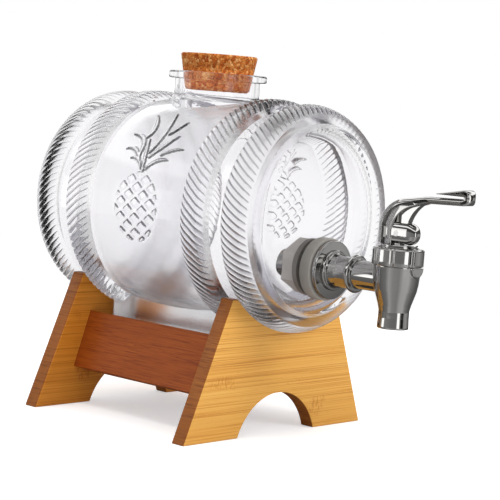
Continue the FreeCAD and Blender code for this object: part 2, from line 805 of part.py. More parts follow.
def lever():
    """The handle: a bent blade with a curled tip, a round nose, a rib, a slot and a pin hole."""
    body = new_body("lever")
    blade = sketch_on(body, "XZ_Plane", "blade")
    outline(blade, [
        ("-lever_back_x", "-nose_radius"),
        ("lever_front_x", "-nose_radius"),
        ("lever_front_x", "elbow_inner_height", "elbow_inner_radius", -1),
        ("elbow_inner_end_x", "elbow_inner_end_height"),
        ("blade_knee_x + 1", "blade_underside - 0.2"),
        ("curl_centre_x", "blade_end_height - blade_thickness", "curl_radius * 1.0001", 1),
        ("curl_centre_x", "blade_end_height - blade_thickness + 2 * curl_radius"),
        ("curl_centre_x - curl_length", "blade_end_height + curl_gap + curl_tip"),
        ("curl_centre_x - curl_length", "blade_end_height + curl_gap"),
        ("curl_centre_x - 1", "blade_end_height + curl_gap", "curl_gap * 0.5001", -1),
        ("curl_centre_x - 1", "blade_end_height"),
        ("blade_knee_x", "blade_knee_height"),
        ("elbow_end_x", "elbow_end_height", "elbow_radius", 1),
        ("-lever_back_x", "elbow_height"),
    ])
    straight(body, "Pad", "blade_pad", blade, "2 * lever_half_width", both_ways=True)

    nose = sketch_on(body, "XZ_Plane", "nose")
    outline(nose, [
        ("lever_front_x - 1", "-nose_radius"),
        ("nose_offset", "-nose_radius", "nose_radius * 1.0001", 1),
        ("nose_offset", "nose_radius"),
        ("lever_front_x - 1", "nose_radius"),
    ])
    straight(body, "Pad", "nose_pad", nose, "2 * nose_half_width", both_ways=True)

    rib = sketch_on(body, "XZ_Plane", "rib")
    outline(rib, [
        ("rib_back_x", "nose_radius - 0.5"),
        ("rib_front_x", "nose_radius - 0.5", "rib_radius", -1),
        ("rib_reach", "blade_underside"),
        ("rib_back_x", "elbow_inner_end_height"),
    ])
    straight(body, "Pad", "rib_pad", rib, "2 * rib_half_width", both_ways=True)

    slot = sketch_on(body, "XZ_Plane", "slot")
    rectangle(slot, "-slot_back_reach", "slot_front_reach",
              "-nose_radius - 1", "stem_head_radius + slot_roof_clearance")
    width = "2 * (stem_head_half_width + slot_clearance)"
    straight(body, "Pocket", "slot_pocket", slot, width, both_ways=True)
    eye = sketch_on(body, "XZ_Plane", "eye")
    circle(eye, "0", "0", "pin_radius + pin_clearance")
    straight(body, "Pocket", "eye_pocket", eye, "3 * lever_half_width", both_ways=True)

    tip = sketch_on(body, "XY_Plane", "round_tip")
    tip_centre = "lever_reach - lever_half_width"
    outline(tip, [
        (tip_centre, "-lever_half_width", "lever_half_width * 1.0001", 1),
        (tip_centre, "lever_half_width"),
        ("lever_reach + 1", "lever_half_width"),
        ("lever_reach + 1", "-lever_half_width"),
    ])
    straight(body, "Pocket", "tip_pocket", tip, "4 * blade_end_height", both_ways=True)
    place(body, "tap_x", "0", "tap_height + pin_height")
    return body


def lever_pin():
    pin = doc.addObject("Part::Cylinder", "lever_pin")
    pin.Label = "lever_pin"
    bind(pin, Radius="pin_radius", Height="2 * nose_half_width")
    place(pin, "tap_x", "nose_half_width", "tap_height + pin_height")
    pin.setExpression("Placement.Rotation.Axis.x", "1")
    pin.setExpression("Placement.Rotation.Axis.z", "0")
    pin.setExpression("Placement.Rotation.Angle", "90")
    return pin


# ---------------------------------------------------------------- the whole dispenser

shank_bore = "shank_radius + thread_clearance"
inner_face = "-(glass_wall + inner_gasket_thickness)"
pieces = [
    glass_barrel(),
    cork_stopper(),
    stand_panel("front_stand_panel", "-"),
    stand_panel("rear_stand_panel", "+"),
    stretcher("left_stretcher", "-"),
    stretcher("right_stretcher", ""),
    stretcher_dowels(),
    ring_piece("outer_gasket", shank_bore, "outer_gasket_radius", "0", "outer_gasket_thickness"),
    ring_piece("inner_gasket", shank_bore, "inner_gasket_radius", inner_face, "-glass_wall"),
    ring_piece("tap_flange", shank_bore, "flange_radius", "outer_gasket_thickness", "flange_front_x"),
    lock_nut(),
    tap_body(),
    bonnet_cap(),
    bonnet_o_ring(),
    bonnet_washer(),
    valve_stem(),
    seat_cup(),
    valve_spring(),
    lever(),
    lever_pin(),
]
doc.recompute()

faults = [thing.Name for thing in doc.Objects if {"Invalid", "Error"} & set(thing.State)]
for piece in pieces:
    if piece.Shape.isNull() or not piece.Shape.isValid():
        faults.append(f"{piece.Label}: no valid shape")
if faults:
    raise RuntimeError(f"the model did not build: {faults}")

os.makedirs("parts", exist_ok=True)
for piece in pieces:
    piece.Shape.exportStep(f"parts/{piece.Label}.step")
    box = piece.Shape.BoundBox
    print(f"{piece.Label:20s} {len(piece.Shape.Solids)} solid(s), {piece.Shape.Volume:10.1f} mm3, "
          f"x {box.XMin:7.1f} {box.XMax:7.1f}, y {box.YMin:6.1f} {box.YMax:6.1f}, "
          f"z {box.ZMin:6.1f} {box.ZMax:6.1f}")
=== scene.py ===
import math

import bmesh
import bpy
from mathutils import Matrix, Vector, noise


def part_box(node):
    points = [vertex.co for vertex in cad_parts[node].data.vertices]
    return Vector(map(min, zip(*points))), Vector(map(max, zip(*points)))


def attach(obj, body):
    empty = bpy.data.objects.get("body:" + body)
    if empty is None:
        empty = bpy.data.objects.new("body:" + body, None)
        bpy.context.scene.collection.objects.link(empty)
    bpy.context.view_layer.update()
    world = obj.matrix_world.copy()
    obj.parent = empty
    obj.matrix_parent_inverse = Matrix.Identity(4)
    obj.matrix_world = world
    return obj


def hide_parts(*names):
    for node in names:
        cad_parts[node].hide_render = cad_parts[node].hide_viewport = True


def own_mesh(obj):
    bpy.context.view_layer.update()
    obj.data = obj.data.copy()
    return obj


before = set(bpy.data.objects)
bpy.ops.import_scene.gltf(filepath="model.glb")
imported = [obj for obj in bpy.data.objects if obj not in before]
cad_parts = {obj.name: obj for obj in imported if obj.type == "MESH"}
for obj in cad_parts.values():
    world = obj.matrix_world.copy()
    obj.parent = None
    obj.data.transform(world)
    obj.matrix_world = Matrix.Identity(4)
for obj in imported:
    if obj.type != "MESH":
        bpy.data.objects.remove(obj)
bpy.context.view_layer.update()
MM = 0.001

# ---------------------------------------------------------------- places, in millimetres


def corners(node):
    low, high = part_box(node)
    return low / MM, high / MM


def middle(node):
    low, high = corners(node)
    return (low + high) / 2


RIM_HEIGHT = 73.0
glass_high = corners("glass_barrel")[1]
BARREL = Vector((middle("glass_barrel").x, 0, glass_high.z - RIM_HEIGHT))
TAP = Vector((middle("bonnet_cap").x, 0, middle("outer_gasket").z))
HEAD_X = glass_high.x
PIN = middle("lever_pin")

# ---------------------------------------------------------------- shapes


def arc(start, end, radius, turn, steps):
    """Points of the shorter arc, without its end; turn is 1 anticlockwise, -1 clockwise."""
    start, end = Vector(start), Vector(end)
    chord = end - start
    rise = math.sqrt(max(radius ** 2 - chord.length ** 2 / 4, 0))
    centre = (start + end) / 2 + Vector((-chord.y, chord.x)) * (turn * rise / chord.length)
    first = math.atan2(start.y - centre.y, start.x - centre.x)
    last = math.atan2(end.y - centre.y, end.x - centre.x)
    sweep = (last - first) * turn % (2 * math.pi) * turn
    angles = [first + sweep * step / steps for step in range(steps)]
    return [(centre.x + radius * math.cos(a), centre.y + radius * math.sin(a)) for a in angles]


def line(start, end, steps):
    """Points of a straight run, without its end."""
    shares = [step / steps for step in range(steps)]
    return [(start[0] + (end[0] - start[0]) * s, start[1] + (end[1] - start[1]) * s) for s in shares]


def new_piece(name, vertices, faces):
    """A mesh object from points in millimetres, with its normals outward."""
    mesh = bpy.data.meshes.new(name)
    mesh.from_pydata([Vector(v) * MM for v in vertices], [], faces)
    shape = bmesh.new()
    shape.from_mesh(mesh)
    bmesh.ops.recalc_face_normals(shape, faces=shape.faces)
    shape.to_mesh(mesh)
    shape.free()
    piece = bpy.data.objects.new(name, mesh)
    bpy.context.collection.objects.link(piece)
    return piece


def tube_faces(rows, count):
    """Faces of a closed tube whose points come row by row, with both ends capped."""
    last = (rows - 1) * count
    faces = [list(range(count)), list(range(last, last + count))]
    for low in range(0, last, count):
        for k in range(count):
            follow = (k + 1) % count
            faces.append((low + k, low + follow, low + count + follow, low + count + k))
    return faces


def lathe(name, profile, segments=128, centre=(0, 0, 0), along="z", shape=None):
    """A closed (radius, height) profile turned about an axis; shape may change each radius."""
    vertices, rings = [], []
    for radius, height in profile:
        count = 1 if radius < 1e-6 else segments
        rings.append(range(len(vertices), len(vertices) + count))
        for step in range(count):
            angle = 2 * math.pi * step / segments
            r = shape(radius, height, angle) if shape and count > 1 else radius
            side, up = r * math.cos(angle), r * math.sin(angle)
            spot = (height, side, up) if along == "x" else (side, up, height)
            vertices.append(Vector(centre) + Vector(spot))
    faces = []
    closed = len(rings[0]) > 1 or len(rings[-1]) > 1
    pairs = list(zip(rings, rings[1:] + rings[:1] if closed else rings[1:]))
    for low, high in pairs:
        for step in range(segments):
            follow = (step + 1) % segments
            corner = [low[step % len(low)], low[follow % len(low)],
                      high[follow % len(high)], high[step % len(high)]]
            face = list(dict.fromkeys(corner))
            if len(face) > 2:
                faces.append(face)
    return new_piece(name, vertices, faces)


def extrude(name, outline, low, high, place, centre=(0, 0, 0)):
    """An outline's two coordinates and a depth are put in place by a function (u, v, depth)."""
    count = len(outline)
    vertices = [Vector(centre) + Vector(place(u, v, depth)) for depth in (low, high) for u, v in outline]
    faces = [list(range(count)), list(range(2 * count - 1, count - 1, -1))]
    faces += [(k, (k + 1) % count, count + (k + 1) % count, count + k) for k in range(count)]
    return new_piece(name, vertices, faces)


def side_view(u, v, depth):
    return u, depth, v


def end_view(u, v, depth):
    return depth, u, v


def top_view(u, v, depth):
    return u, v, depth


def rounded_rectangle(half_length, half_width, radius, steps=8):
    x, y = half_length - radius, half_width - radius
    points = []
    rounds = (((x, -half_width), (half_length, -y)), ((half_length, y), (x, half_width)),
              ((-x, half_width), (-half_length, y)), ((-half_length, -y), (-x, -half_width)))
    for start, end in rounds:
        points += arc(start, end, radius, 1, steps) + [end]
    return points


def apply_modifiers(piece):
    graph = bpy.context.evaluated_depsgraph_get()
    mesh = bpy.data.meshes.new_from_object(piece.evaluated_get(graph))
    old = piece.data
    piece.modifiers.clear()
    piece.data = mesh
    bpy.data.meshes.remove(old)


def combine(piece, tool, operation):
    """UNION or DIFFERENCE with a tool, which is used up."""
    modifier = piece.modifiers.new("combine", "BOOLEAN")
    modifier.operation = operation
    modifier.solver = "MANIFOLD"
    modifier.object = tool
    apply_modifiers(piece)
    bpy.data.objects.remove(tool)


def bevel(piece, width, segments=3, angle=35):
    modifier = piece.modifiers.new("bevel", "BEVEL")
    modifier.width = width * MM
    modifier.segments = segments
    modifier.limit_method = "ANGLE"
    modifier.angle_limit = math.radians(angle)
    apply_modifiers(piece)


def cast(piece, voxel, rounds):
    """Blend the joints of a casting: an even fine mesh, lightly smoothed."""
    remesh = piece.modifiers.new("remesh", "REMESH")
    remesh.mode = "VOXEL"
    remesh.voxel_size = voxel * MM
    smooth = piece.modifiers.new("smooth", "SMOOTH")
    smooth.iterations = rounds
    smooth.factor = 0.5
    apply_modifiers(piece)


def shade(piece, angle=35):
    """Smooth faces, with edges above the angle kept sharp."""
    piece.data.shade_smooth()
    piece.data.set_sharp_from_angle(angle=math.radians(angle))


def finish_piece(piece, body, slot, material, *nodes, angle=35):
    shade(piece, angle)
    if material:
        piece.data.materials.clear()
        piece.data.materials.append(material)
    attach(piece, body)
    if nodes:
        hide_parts(*nodes)


# ---------------------------------------------------------------- materials


class Paint:
    """A new material with a Principled shader, and short ways to add and link nodes."""

    def __init__(self, name, **settings):
        self.material = bpy.data.materials.new(name)
        self.material.use_nodes = True
        self.nodes = self.material.node_tree.nodes
        self.links = self.material.node_tree.links
        self.shader = self.nodes["Principled BSDF"]
        self.output = self.nodes["Material Output"]
        self.where = self.add("ShaderNodeTexCoord").outputs["Object"]
        for socket, amount in settings.items():
            self.shader.inputs[socket.replace("_", " ")].default_value = amount

    def add(self, kind, settings=None, **inputs):
        node = self.nodes.new(kind)
        for name, choice in (settings or {}).items():
            setattr(node, name, choice)
        for socket, source in inputs.items():
            self.put(node.inputs[socket.replace("_", " ")], source)
        return node

    def put(self, socket, source):
        if isinstance(source, bpy.types.NodeSocket):
            self.links.new(source, socket)
        else:
            socket.default_value = source

    def stretched(self, *scale):
        """The object's coordinates, multiplied along X, Y and Z."""
        node = self.add("ShaderNodeMapping", Vector=self.where)
        node.inputs["Scale"].default_value = scale
        return node.outputs["Vector"]

    def noise(self, where, size, detail=3.0, roughness=0.5):
        node = self.add("ShaderNodeTexNoise", Vector=where, Scale=size, Detail=detail, Roughness=roughness)
        return node.outputs["Fac"]

    def cells(self, where, size, feature="F1"):
        return self.add("ShaderNodeTexVoronoi", {"feature": feature}, Vector=where, Scale=size)

    def ramp(self, amount, *stops):
        """Colours or greys at positions from 0 to 1."""
        node = self.add("ShaderNodeValToRGB", Fac=amount)
        while len(node.color_ramp.elements) < len(stops):
            node.color_ramp.elements.new(0.5)
        for element, (position, colour) in zip(node.color_ramp.elements, stops):
            element.position = position
            element.color = colour if isinstance(colour, tuple) else grey(colour)
        return node.outputs["Color"]

    def mix(self, amount, first, second, way="MIX"):
        node = self.add("ShaderNodeMix", {"data_type": "RGBA", "blend_type": way})
        for index, source in ((0, amount), (6, first), (7, second)):
            self.put(node.inputs[index], source)
        return node.outputs[2]

    def bump(self, height, depth, strength=1.0):
        node = self.add("ShaderNodeBump", Height=height, Distance=depth * MM, Strength=strength)
        self.links.new(node.outputs["Normal"], self.shader.inputs["Normal"])


def rgb(red, green, blue):
    """A screen colour, 0 to 255, as linear light."""
    def linear(part):
        part /= 255
        return part / 12.92 if part <= 0.04045 else ((part + 0.055) / 1.055) ** 2.4
    return linear(red), linear(green), linear(blue), 1.0


def grey(level):
    return level, level, level, 1.0


def glass_material(name, roughness, ripple_depth, tint=(0.995, 0.99, 1, 1), ior=1.4, waves=60.0):
    """Moulded glass: a faint waviness, and a little grey through its depth."""
    paint = Paint(name, Base_Color=tint, Roughness=roughness, IOR=ior, Transmission_Weight=1.0)
    ripples = paint.noise(paint.where, waves, 2.0)
    paint.bump(ripples, ripple_depth, 0.5)
    depth = paint.add("ShaderNodeVolumeAbsorption", Color=(0.86, 0.85, 0.90, 1), Density=2.5)
    paint.links.new(depth.outputs["Volume"], paint.output.inputs["Volume"])
    return paint.material


def bamboo_material(name, light, middle_tone, dark, pores=0.5):
    """Strips of bamboo: fine level fibres, seams, pores and knuckles, with painted shade that makes them a
    little darker at the feet.
    """
    paint = Paint(name, Roughness=0.42, Specular_IOR_Level=0.3)
    fibres = paint.noise(paint.stretched(60, 7, 1900), 1.0, 5.0, 0.7)
    tone = paint.ramp(fibres, (0.34, dark), (0.47, middle_tone), (0.66, light))
    clouds = paint.noise(paint.stretched(18, 10, 60), 1.0, 2.0)
    tone = paint.mix(paint.ramp(clouds, (0.36, 0.0), (0.70, 0.6)), tone, middle_tone)
    seams = paint.noise(paint.stretched(30, 3, 620), 1.0, 2.0, 0.5)
    tone = paint.mix(paint.ramp(seams, (0.60, 0.0), (0.645, 0.75), (0.69, 0.0)), tone, dark)
    knuckles = paint.noise(paint.stretched(12, 42, 52), 1.0, 1.0, 0.3)
    grain = paint.noise(paint.stretched(300, 900, 330), 1.0, 2.0, 0.6)
    marks = paint.mix(1.0, paint.ramp(knuckles, (0.66, 0.0), (0.72, 0.55)),
                      paint.ramp(grain, (0.48, 0.0), (0.60, 1.0)), "MULTIPLY")
    tone = paint.mix(marks, tone, dark)
    specks = paint.noise(paint.stretched(400, 200, 1500), 1.0, 2.0, 0.8)
    tone = paint.mix(paint.ramp(specks, (0.68, 0.0), (0.75, pores)), tone, dark)
    # painted shade: the tone is multiplied darker towards the floor
    rise = paint.add("ShaderNodeSeparateXYZ", Vector=paint.where).outputs["Z"]
    tone = paint.mix(1.0, tone, paint.ramp(rise, (0.01, 0.84), (0.06, 1.0)), "MULTIPLY")
    paint.put(paint.shader.inputs["Base Color"], tone)
    paint.put(paint.shader.inputs["Roughness"], paint.ramp(fibres, (0.2, 0.5), (0.8, 0.36)))
    paint.bump(fibres, 0.08, 0.4)
    return paint.material


def cork_material():
    """Agglomerate cork: pressed granules of many browns with dark gaps and pits.

    It is painted lighter inside the neck, whose glass takes some of its light.
    """
    paint = Paint("cork", Roughness=0.85, Specular_IOR_Level=0.2)
    swirl = paint.add("ShaderNodeTexNoise", Vector=paint.where, Scale=350.0, Detail=3.0)
    wobble = paint.mix(0.004, paint.where, swirl.outputs["Color"])
    grains = paint.cells(wobble, 620.0)
    shade_of = paint.add("ShaderNodeSeparateColor", Color=grains.outputs["Color"]).outputs[0]
    tone = paint.ramp(shade_of, (0.0, rgb(170, 78, 24)), (0.3, rgb(206, 114, 46)),
                      (0.7, rgb(224, 142, 70)), (1.0, rgb(240, 178, 112)))
    gaps = paint.cells(wobble, 620.0, "DISTANCE_TO_EDGE").outputs["Distance"]
    tone = paint.mix(paint.ramp(gaps, (0.0, 0.6), (0.10, 0.0)), tone, rgb(128, 54, 14))
    flecks = paint.noise(paint.where, 1100.0, 3.0, 0.7)
    tone = paint.mix(paint.ramp(flecks, (0.56, 0.0), (0.68, 0.8)), tone, rgb(98, 38, 8))
    rise = paint.add("ShaderNodeSeparateXYZ", Vector=paint.where).outputs["Z"]
    inside_neck = paint.ramp(rise, (0.187, 1.0), (0.189, 0.0))
    tone = paint.mix(inside_neck, tone, (2.0, 1.85, 1.9, 1), "MULTIPLY")
    paint.put(paint.shader.inputs["Base Color"], tone)
    paint.bump(paint.ramp(gaps, (0.0, 0.0), (0.15, 1.0)), 0.3, 0.9)
    return paint.material


def chrome_material(name="chrome", tone=(0.37, 0.365, 0.355, 1), roughness=0.05):
    """Plated metal with faint polishing marks and smears."""
    paint = Paint(name, Base_Color=tone, Metallic=1.0, Roughness=roughness)
    smears = paint.noise(paint.stretched(60, 60, 90), 1.0, 4.0, 0.6)
    paint.put(paint.shader.inputs["Roughness"],
              paint.ramp(smears, (0.35, roughness), (0.75, roughness + 0.07)))
    paint.bump(paint.noise(paint.where, 160.0, 2.0), 0.05, 0.4)
    return paint.material


def rubber_material(name, tone, roughness=0.5):
    """Silicone or plastic: an even colour with a faint mottle and a satin skin."""
    paint = Paint(name, Roughness=roughness, Specular_IOR_Level=0.4)
    mottle = paint.noise(paint.where, 140.0, 4.0, 0.6)
    darker = tuple(part * 0.86 for part in tone[:3]) + (1.0,)
    paint.put(paint.shader.inputs["Base Color"], paint.ramp(mottle, (0.3, darker), (0.7, tone)))
    paint.bump(paint.noise(paint.where, 1400.0, 2.0), 0.03, 0.5)
    return paint.material


GLASS = glass_material("clear_glass", 0.0, 0.2)
GLASS_INSIDE = glass_material("rippled_glass", 0.24, 0.6, ior=1.34)
# the relief's slopes: glass tinted dark grey, painted shade for their dark lines
GLASS_RELIEF_SHADED = glass_material("relief_glass_shaded", 0.1, 0.2, (0.26, 0.26, 0.265, 1))
GLASS_ROPE = glass_material("rope_glass", 0.06, 0.2, ior=1.3)
GLASS_RIM = glass_material("rim_glass", 0.30, 0.2, ior=1.22)
# the rope valleys: glass tinted grey, painted shade for their dark lines
GLASS_VALLEY_SHADED = glass_material("valley_glass_shaded", 0.1, 0.2, (0.5, 0.5, 0.505, 1), 1.3)
GLASS_FOOT = glass_material("foot_glass", 0.26, 1.5, (0.97, 0.98, 1, 1), 1.6, 35.0)
BAMBOO = bamboo_material("bamboo_face", rgb(242, 190, 102), rgb(230, 168, 77), rgb(186, 112, 34))
# the rear panel's bamboo: a darker, more saturated copy of the face bamboo, painted shade
BAMBOO_REAR_SHADED = bamboo_material("bamboo_rear_shaded", rgb(244, 168, 66), rgb(228, 144, 46), rgb(182, 98, 18))
# the narrow edges' bamboo: a darker copy of the same wood, painted shade
BAMBOO_EDGE_SHADED = bamboo_material("bamboo_edge_shaded", rgb(172, 104, 40), rgb(150, 84, 26), rgb(108, 54, 14), 0.8)
# the stretchers' and dowels' bamboo: a darker copy of the same wood, painted shade
BAMBOO_SHADED = bamboo_material("bamboo_stretcher_shaded", rgb(178, 90, 26), rgb(158, 74, 16), rgb(122, 50, 8))
CORK = cork_material()
CHROME = chrome_material()
STEEL = chrome_material("valve_steel", (0.45, 0.44, 0.43, 1), 0.22)
GASKET = rubber_material("grey_silicone", rgb(152, 148, 142))
NUT = rubber_material("grey_plastic", rgb(228, 224, 218), 0.4)

# ---------------------------------------------------------------- glass barrel

STRANDS = 98
STRAND_STEPS = (0.0, 0.07, 0.18, 0.34, 0.5, 0.66, 0.82, 0.93)
STRAND_DEPTH = 0.65
STRAND_SQUARENESS = 4.5
STRAND_LEAN = 0.72
BELLY_END = 34.0
BELLY_RADIUS = 59.0
BELLY_WALL = 5.0
ROPES_END = 79.0
SHOULDER_RADIUS = 56.8
ROPE_BANDS = ((34.4, 51.9), (61.6, 78.8))
ROPE_FADE = 1.6
# the pineapple: places along (from the barrel's middle) and around the belly
PINE_X = 2.3
PINE_CELL = (5.25, 4.05)
PINE_HALF = (15.2, 18.6)
PINE_RISE = 1.0
PINE_REACH = 26
MOUTH_RADIUS = 19.4
TAP_HOLE_RADIUS = 7.9
FOOT_HALF = (50, 22.5)
FOOT_BOTTOM = -73
FOOT_RECESS = 6
FOOT_WALL = 4
LEAVES = (
    # three places along one leaf (along the barrel, around it), then its width
    ((-3.9, 39.0), (-2.7, 46.0), (-9.3, 56.0), 3.6), ((3.5, 30.0), (7.0, 43.0), (3.4, 58.8), 2.8),
    ((9.9, 42.0), (13.4, 47.0), (16.2, 52.4), 2.2), ((4.5, 27.0), (11.1, 34.2), (17.8, 42.2), 2.8),
    ((12.0, 29.0), (19.3, 32.9), (25.0, 34.0), 2.2), ((3.2, 19.5), (1.4, 29.0), (-1.0, 38.0), 3.0),
    ((-2.8, 28.0), (-5.4, 37.5), (-15.2, 40.3), 3.8), ((-1.5, 25.0), (-8.0, 31.2), (-15.4, 30.6), 3.0),
    ((1.4, 20.5), (-3.0, 25.6), (-9.0, 25.6), 2.4), ((4.6, 20.0), (11.0, 25.4), (18.2, 26.5), 2.6),
)


def smooth_step(low, high, amount):
    share = min(max((amount - low) / (high - low), 0.0), 1.0)
    return share * share * (3 - 2 * share)


def barrel_half_profile():
    """(distance from the middle, radius) of the plain glass from the middle to a head's centre."""
    points = []
    sag = BELLY_RADIUS - SHOULDER_RADIUS
    for start, end, step in ((0.0, 27.0, 0.45), (27.0, BELLY_END, 1.0)):
        count = round((end - start) / step)
        points += [(start + step * k, BELLY_RADIUS - sag * ((start + step * k) / BELLY_END) ** 2)
                   for k in range(count)]
    points += arc((BELLY_END, SHOULDER_RADIUS), (42.5, 61.3), 8.5, -1, 14)
    turns = [math.pi / 2 * step / 14 for step in range(15)]
    points += [(45.8 + 6.1 * math.sin(t), 55 + 6.3 * max(math.cos(t), 0.0) ** 0.75) for t in turns]
    points += line((52.0, 55), (61.1, 55), 6)
    points += arc((61.1, 55), (68, 60), 6.9, -1, 12)
    points += arc((68, 60), (ROPES_END, 55.5), 18.7, -1, 16)
    points += line((ROPES_END, 55.5), (78, 50.5), 4)
    points += arc((78, 50.5), (81, 47.5), 3.0, -1, 6)
    points += line((81, 47.5), (81, 5), 5)
    return points


def rope_share(distance):
    """1 inside a rope band, falling to 0 at its borders."""
    share = 0.0
    for low, high in ROPE_BANDS:
        inside = min(distance - low, high - distance)
        share = max(share, smooth_step(0.0, ROPE_FADE, inside))
    return share


def leaf_line(start, through, end):
    """Points of one leaf's middle, bent through its second place."""
    start, through, end = Vector(start), Vector(through), Vector(end)
    bend = through * 2 - (start + end) / 2
    spots = [step / 12 for step in range(13)]
    return [start * (1 - k) ** 2 + bend * 2 * k * (1 - k) + end * k * k for k in spots]


LEAF_LINES = [(leaf_line(*places), width) for *places, width in LEAVES]


def leaf_height(x, s):
    """Leaves are low pads that taper to the tip, steep on one side and sloping on the other."""
    best = 0.0
    for spots, width in LEAF_LINES:
        nearest, place, side = 1e9, 0, 1
        for index, (a, b) in enumerate(zip(spots, spots[1:])):
            run, away = b - a, Vector((x, s)) - a
            share = min(max(away.dot(run) / run.length_squared, 0.0), 1.0)
            gap = (away - run * share).length
            if gap < nearest:
                nearest, place = gap, (index + share) / (len(spots) - 1)
                side = run.x * away.y - run.y * away.x
        half = width / 2 * math.sin(math.pi * min(0.14 + place * 0.86, 1.0)) ** 0.6
        if side < 0:
            best = max(best, 1 - smooth_step(0.45, 0.8, nearest / half))
        else:
            best = max(best, 1 - smooth_step(0.0, 1.4, nearest / half))
    return best


def pine_height(x, s):
    """Height of the pineapple relief at a place along and around the belly."""
    if not -20 < s < 61 or abs(x - PINE_X) > 25:
        return 0.0
    height = 0.0
    reach = math.hypot((x - PINE_X) / PINE_HALF[0], s / PINE_HALF[1])
    if reach < 1.05:
        across, up = (x - PINE_X) / PINE_CELL[0], (s - 1.95) / PINE_CELL[1]
        first, second = (across + up) / 2, (across - up) / 2
        first, second = first - round(first), round(second) - second
        scale = 0.3 + 0.35 * (first + second + 1)
        for edge in (first, second):
            scale *= (1 - smooth_step(0.33, 0.42, edge)) * (1 - smooth_step(0.15, 0.45, -edge))
        height = scale * (1 - smooth_step(0.95, 1.04, reach))
    if s > 17:
        height = max(height, leaf_height(x, s))
    return height * PINE_RISE


def barrel_outside():
    """The outside as one grid whose lines follow the strands of the ropes."""
    half = barrel_half_profile()
    stations = [(-x, r) for x, r in reversed(half[1:])] + half
    turns = [(strand + part) / STRANDS for strand in range(STRANDS) for part in STRAND_STEPS]
    beads = [1 - abs(2 * part - 1) ** STRAND_SQUARENESS for part in STRAND_STEPS]
    vertices = []
    for x, radius in stations:
        distance = abs(x)
        share = rope_share(distance) if 30 < radius else 0.0
        twist = STRAND_LEAN * max(min(distance, ROPES_END) - BELLY_END, 0.0) / BELLY_RADIUS
        for index, turn in enumerate(turns):
            angle = 2 * math.pi * turn - twist
            r = radius - STRAND_DEPTH * share * (1 - beads[index % len(beads)])
            if distance < PINE_REACH:
                around = (angle + math.pi / 2) % (2 * math.pi) - math.pi / 2
                near = around if around < math.pi / 2 else math.pi - around
                r += pine_height(x, near * BELLY_RADIUS)
            vertices.append(BARREL + Vector((x, -r * math.cos(angle), r * math.sin(angle))))
    return new_piece("glass", vertices, tube_faces(len(stations), len(turns)))


def barrel_cavity():
    """The hollow inside, to be cut out."""
    half = []
    sag = BELLY_RADIUS - SHOULDER_RADIUS
    for k in range(17):
        x = 2.0 * k
        half.append((BELLY_RADIUS - BELLY_WALL - sag * (x / BELLY_END) ** 2, x))
    half += [(r, x) for x, r in line((BELLY_END, SHOULDER_RADIUS - BELLY_WALL), (66, 50), 10)]
    half += [(r, x) for x, r in arc((66, 50), (76, 40), 10, -1, 12)]
    half += [(40, 76), (0, 76)]
    profile = [(r, -x) for r, x in reversed(half[1:])] + half
    return lathe("cavity", profile, 320, BARREL, "x")


def neck_solid():
    """The neck and its flange, still without the mouth."""
    low, top = 40.0, RIM_HEIGHT
    profile = [(0, low), (25.2, low), (25.2, 57.5)]
    profile += arc((25.2, 57.5), (23.5, 61.5), 5.0, -1, 6)
    profile += [(23.5, 61.5), (23.5, top - 4.3)]
    profile += arc((25.8, top - 4.3), (27, top - 3.1), 1.2, 1, 6)
    profile += arc((27, top - 1.2), (25.8, top), 1.2, 1, 6)
    profile += [(25.8, top), (0, top)]
    return lathe("neck", profile, 256, BARREL)


def glass_look(spot, normal):
    """The glass of one face, from its place about the barrel's middle and its normal.

    The inner wall, the foot, the rims and the ropes each have their own. On the -Y side the slopes of the
    relief and the valleys of the ropes get grey-tinted glass, a painted shade for their dark lines, but not
    those of the rearmost rope.
    """
    distance, radius = abs(spot.x), math.hypot(spot.y, spot.z)
    radial = Vector((0, spot.y, spot.z)) / max(radius, 0.001)
    outward = normal.dot(radial)
    sideways = abs(normal.dot(Vector((0, -radial.z, radial.y))))
    inner_wall = outward < -0.7 and distance < BELLY_END + 12 and 48 < radius < 54.2
    relief_edge = distance < PINE_REACH + 1 and abs(spot.z) < 50 and radius > 56 and 0.3 < outward < 0.88
    foot = spot.z < -52 and abs(spot.y) < 22.7 and distance < 50.2 and radius > 54.6
    rope = radius > 55.5 and distance > BELLY_END
    valley = rope and spot.x > -55 and spot.z > -52 and sideways > 0.4
    if inner_wall:
        return GLASS_INSIDE
    if relief_edge and spot.y < 0:
        return GLASS_RELIEF_SHADED
    if foot:
        return GLASS_FOOT
    if valley and spot.y < 15:
        return GLASS_VALLEY_SHADED
    if radius > 48 and distance > 61:
        return GLASS_RIM
    return GLASS_ROPE if rope else GLASS


